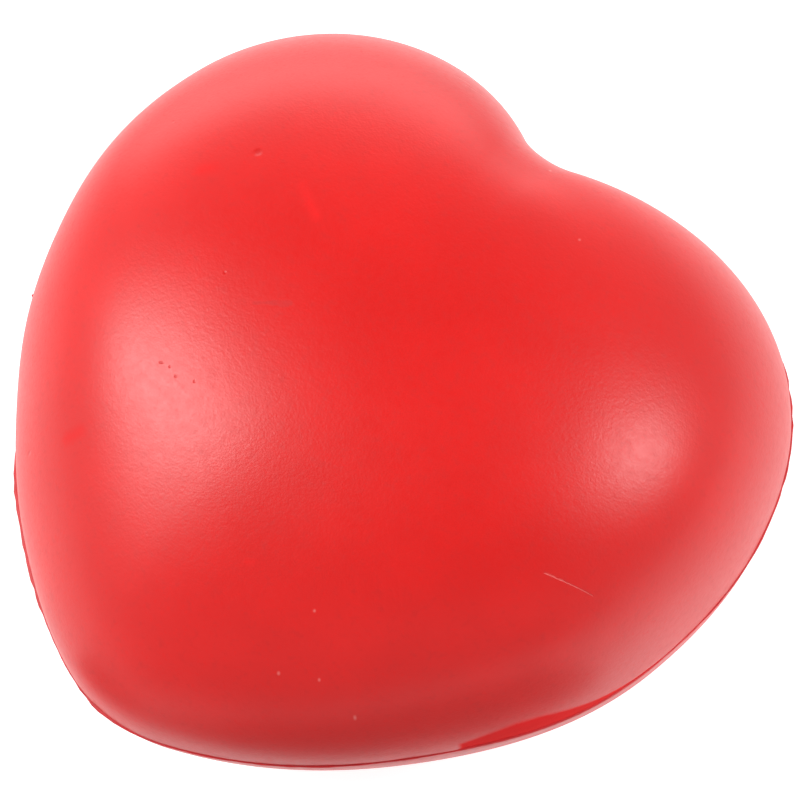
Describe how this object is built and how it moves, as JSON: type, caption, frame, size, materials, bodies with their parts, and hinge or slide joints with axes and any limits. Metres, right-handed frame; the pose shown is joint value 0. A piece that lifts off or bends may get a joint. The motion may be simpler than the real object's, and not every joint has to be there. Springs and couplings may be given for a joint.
{
  "type": "stress ball",
  "caption": "Heart-shaped foam stress ball: a squeezable foam core in a dense skin moulded in front and rear halves, with a trimmed flash line between them.",
  "frame": {"origin": "under the middle of the outline, on the surface that the rear dome rests on", "axes": "+Z from the rear dome to the front dome, square to the parting plane; +Y from the tip of the heart to its two lobes; +X across the lobes"},
  "size_m": [0.0768, 0.0744, 0.044],
  "materials": {
    "skin": "satin red flexible polyurethane skin with a fine pebble",
    "foam": "flexible polyurethane foam with fine open cells, paler than the skin",
    "flash": "matt red trimmed edge"
  },
  "bodies": {
    "rear_half": {"rear_skin": "skin", "foam_core": "foam", "parting_flash": "flash"},
    "front_half": {"front_skin": "skin"}
  },
  "joints": [
    {"name": "squeeze", "type": "slide", "parent": "rear_half", "child": "front_half", "axis": [0, 0, -1], "range_m": [0, 0.018], "stiffness_N_per_m": 3500, "deforming": ["foam_core", "rear_skin", "parting_flash"]}
  ]
}
